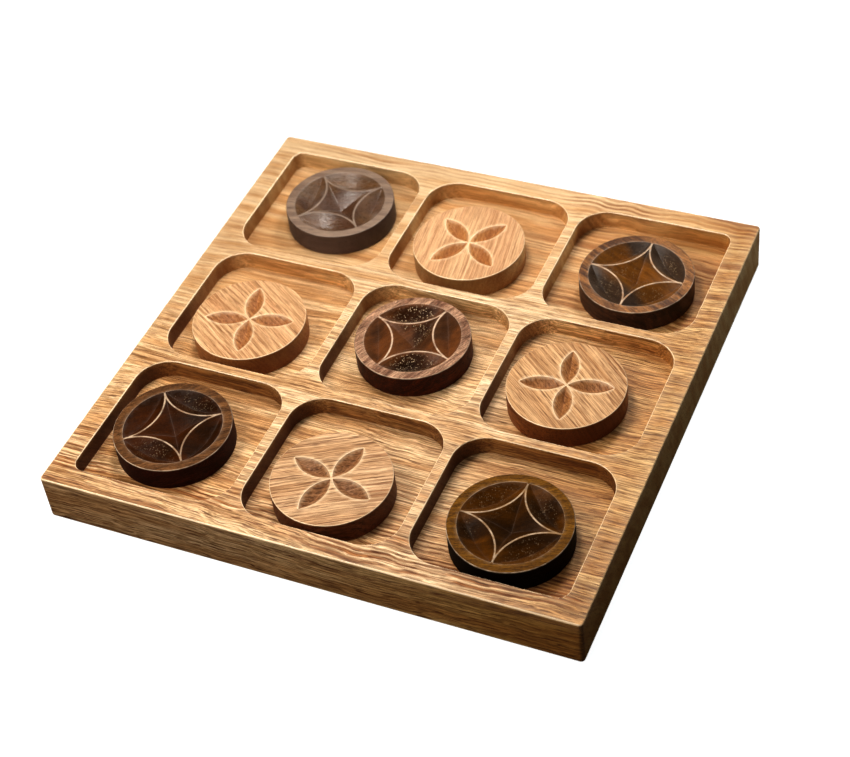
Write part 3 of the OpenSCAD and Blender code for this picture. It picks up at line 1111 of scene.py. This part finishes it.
materials = {
    "board": oak("oak_board_wood", OAK_LIGHT, OAK_MID, OAK_DARK, OAK_PORE, board=True,
                 hollow=(1.04, 1.0, 0.92), wall_painted_light=(1.30, 1.28, 1.16)),
    "flower_piece_1": oak("oak_piece_wood_1", srgb(218, 178, 135), srgb(202, 155, 112), srgb(178, 128, 88), srgb(140, 93, 57),
                          ring_gain=0.45, ring_k=1.1, wave=0.3, hollow=(0.80, 0.62, 0.40), side=(0.82, 0.79, 0.60),
                          fibre_gain=0.5, pore_gain=0.45),
    "flower_piece_2": oak("oak_piece_wood_2", srgb(223, 183, 138), srgb(202, 155, 110), srgb(166, 113, 70), srgb(120, 72, 38),
                          ring_gain=0.7, ring_k=1.2, wave=0.3, hollow=(0.76, 0.60, 0.43), side=(0.79, 0.56, 0.34),
                          fibre_gain=0.65, pore_gain=0.6),
    "flower_piece_3": oak("oak_piece_wood_3", srgb(214, 172, 124), srgb(193, 147, 98), srgb(160, 108, 60), srgb(116, 70, 36),
                          ring_gain=0.75, ring_k=1.2, wave=0.3, hollow=(0.70, 0.56, 0.42), side=(0.55, 0.30, 0.13),
                          fibre_gain=0.65, pore_gain=0.8),
    "flower_piece_4": oak("oak_piece_wood_4", srgb(219, 181, 139), srgb(198, 155, 110), srgb(156, 106, 64), srgb(108, 70, 40),
                          ring_gain=0.95, ring_k=1.2, wave=0.35, hollow=(0.60, 0.48, 0.38), side=(0.375, 0.19, 0.11),
                          fibre_gain=0.8, pore_gain=0.9),
    # star piece 1: the grey in its rim colour is a painted sheen
    "star_piece_1": walnut("walnut_piece_wood_1", srgb(149, 123, 101), srgb(120, 93, 73), srgb(124, 89, 56), srgb(104, 69, 44),
                           side=(0.33, 0.25, 0.29), in_rough=0.30, spec=0.95, fibre=0.35,
                           ridge=(132, 119, 106), edge=(150, 130, 112)),
    # star piece 2: the grey of its second hollow colour is a painted reflection
    "star_piece_2": walnut("walnut_piece_wood_2", srgb(153, 104, 56), srgb(95, 58, 29), srgb(137, 87, 27), srgb(79, 59, 43),
                           side=(0.36, 0.31, 0.43), spec=0.36, fibre=1.3, ridge=(148, 133, 121), heart=(40.0, 6.0)),
    "star_piece_3": walnut("walnut_piece_wood_3", srgb(181, 143, 114), srgb(125, 87, 65), srgb(129, 80, 42), srgb(98, 62, 35),
                           side=(0.25, 0.075, 0.014), fibre=1.5, glint_shade=0.80, spec=0.18, ridge=(147, 125, 111)),
    "star_piece_4": walnut("walnut_piece_wood_4", srgb(124, 86, 52), srgb(96, 65, 40), srgb(87, 45, 11), srgb(61, 33, 9),
                           side=(0.36, 0.15, 0.20), in_rough=0.40, spec=0.09, fibre=1.2, glint_shade=0.45, ridge=(162, 152, 145)),
    "star_piece_5": walnut("walnut_piece_wood_5", srgb(130, 88, 24), srgb(102, 66, 18), srgb(110, 66, 12), srgb(66, 38, 7),
                           side=(0.040, 0.027, 0.028), in_rough=0.40, spec=0.09, fibre=1.2, glint_shade=0.50, rim_rough=0.62,
                           ridge=(169, 154, 140)),
}


def finish_piece(node, build):
    v, n, wear, carve, side, glint = build.arrays()
    faces = orient(v, build.f, n)
    angle, tilt, offset = WOOD[node]
    centre = (0.0, 0.0) if node == "board" else centre_of(node)
    coords, endg = grain_attrs(v, n, centre, angle, tilt, offset)
    ob = make_mesh(node + "_wood", v, faces, n,
                   {"grain": coords, "endg": endg, "wear": wear, "carve": carve, "side": side,
                    "glint": glint})
    ob.data.materials.append(materials[node])
    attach(ob, node)
    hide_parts(node)
    return ob


for node in WOOD:
    if node == "board":
        finish_piece(node, build_board())
    else:
        finish_piece(node, carved_piece(node, "star" if node.startswith("star") else "petal"))


# ---------------------------------------------------------------------------
# Floor, light, camera
# ---------------------------------------------------------------------------
def make_floor():
    me = bpy.data.meshes.new("floor")
    s = 6.0
    z = float(cad_lo.z) - 0.0002
    me.from_pydata([(-s, -s, z), (s, -s, z), (s, s, z), (-s, s, z)], [], [(0, 1, 2, 3)])
    ob = bpy.data.objects.new("floor", me)
    bpy.context.scene.collection.objects.link(ob)
    m = Nodes("floor_paper")
    bsdf = m.new("ShaderNodeBsdfDiffuse")
    bsdf.inputs[0].default_value = (0.22, 0.22, 0.22, 1)
    glow = m.new("ShaderNodeEmission")
    glow.inputs[0].default_value = (1, 1, 1, 1)
    glow.inputs[1].default_value = 0.95
    addn = m.new("ShaderNodeAddShader")
    m.t.links.new(bsdf.outputs[0], addn.inputs[0])
    m.t.links.new(glow.outputs[0], addn.inputs[1])
    dark = m.new("ShaderNodeBsdfDiffuse")
    dark.inputs[0].default_value = (0.10, 0.085, 0.07, 1)
    lp = m.new("ShaderNodeLightPath")
    mixn = m.new("ShaderNodeMixShader")
    m.t.links.new(lp.outputs["Is Camera Ray"], mixn.inputs[0])
    m.t.links.new(dark.outputs[0], mixn.inputs[1])
    m.t.links.new(addn.outputs[0], mixn.inputs[2])
    out = m.new("ShaderNodeOutputMaterial")
    m.t.links.new(mixn.outputs[0], out.inputs[0])
    me.materials.append(m.mat)
    return ob


make_floor()


def area(name, loc, target, size, power, colour=(1, 1, 1), size_y=None, spin=0.0):
    li = bpy.data.lights.new(name, "AREA")
    li.shape = "ELLIPSE" if size_y else "DISK"
    li.size = size
    if size_y:
        li.size_y = size_y
    li.energy = power
    li.color = colour
    ob = bpy.data.objects.new(name, li)
    bpy.context.scene.collection.objects.link(ob)
    ob.location = loc
    ob.rotation_mode = "QUATERNION"
    ob.rotation_quaternion = (Vector(target) - Vector(loc)).to_track_quat("-Z", "Y")
    return ob


area("key_a", (-0.06, 0.08, 0.35), (-0.01, 0.02, 0.0), 0.10, 0.93, (1.0, 0.98, 0.95), size_y=0.16)
area("key_b", (0.05, 0.30, 0.35), (0.02, 0.06, 0.0), 0.10, 0.92, (1.0, 0.98, 0.95), size_y=0.16)
area("front_left", (-0.18, -0.21, 0.36), (-0.04, -0.05, 0.0), 0.08, 1.04, (1.0, 0.98, 0.94), size_y=0.20)
area("spark", (0.05, -0.18, 0.36), (0.0, 0.0, 0.0), 0.03, 0.18, (1.0, 0.98, 0.95))
area("right", (0.9, 0.25, 0.55), (0.0, 0.0, 0.0), 0.60, 0.38, (1.0, 0.97, 0.92))
low = area("back_right", (0.25, 0.36, 0.10), (0.10, 0.09, 0.01), 0.14, 1.25, (0.70, 0.92, 1.12))
low.visible_glossy = False
area("front", (-0.50, -0.70, 0.44), (0.0, -0.05, 0.0), 0.45, 1.9, (1.0, 0.98, 0.92))

world = bpy.data.worlds.new("studio")
world.use_nodes = True
wt = world.node_tree
bg = wt.nodes["Background"]
bg.inputs[0].default_value = (1.0, 0.97, 0.94, 1)
bg.inputs[1].default_value = 0.072
pale = wt.nodes.new("ShaderNodeBackground")
pale.inputs[0].default_value = (1, 1, 1, 1)
pale.inputs[1].default_value = 0.96
sees = wt.nodes.new("ShaderNodeLightPath")
both = wt.nodes.new("ShaderNodeMixShader")
wt.links.new(sees.outputs["Is Camera Ray"], both.inputs[0])
wt.links.new(bg.outputs[0], both.inputs[1])
wt.links.new(pale.outputs[0], both.inputs[2])
wt.links.new(both.outputs[0], wt.nodes["World Output"].inputs[0])
bpy.context.scene.world = world


cam_data = bpy.data.cameras.new("camera")
cam_data.lens = 81.44458
cam_data.sensor_width = 36.0
cam_data.clip_start = 0.01
cam_data.clip_end = 30.0
cam = bpy.data.objects.new("camera", cam_data)
bpy.context.scene.collection.objects.link(cam)
rot = Matrix(((0.91641462, -0.21345083, 0.33856016),
              (0.38884037, 0.67520381, -0.62681974),
              (-0.09480192, 0.70607263, 0.70176494)))
cam.matrix_world = Matrix.Translation((0.2418559, -0.4431267, 0.4998294)) @ rot.to_4x4()
cam_data.dof.use_dof = True
cam_data.dof.focus_distance = 0.660
cam_data.dof.aperture_fstop = 20.0
bpy.context.scene.camera = cam
bpy.context.scene.view_settings.view_transform = "Standard"
bpy.context.scene.view_settings.gamma = 0.77

bpy.context.view_layer.update()
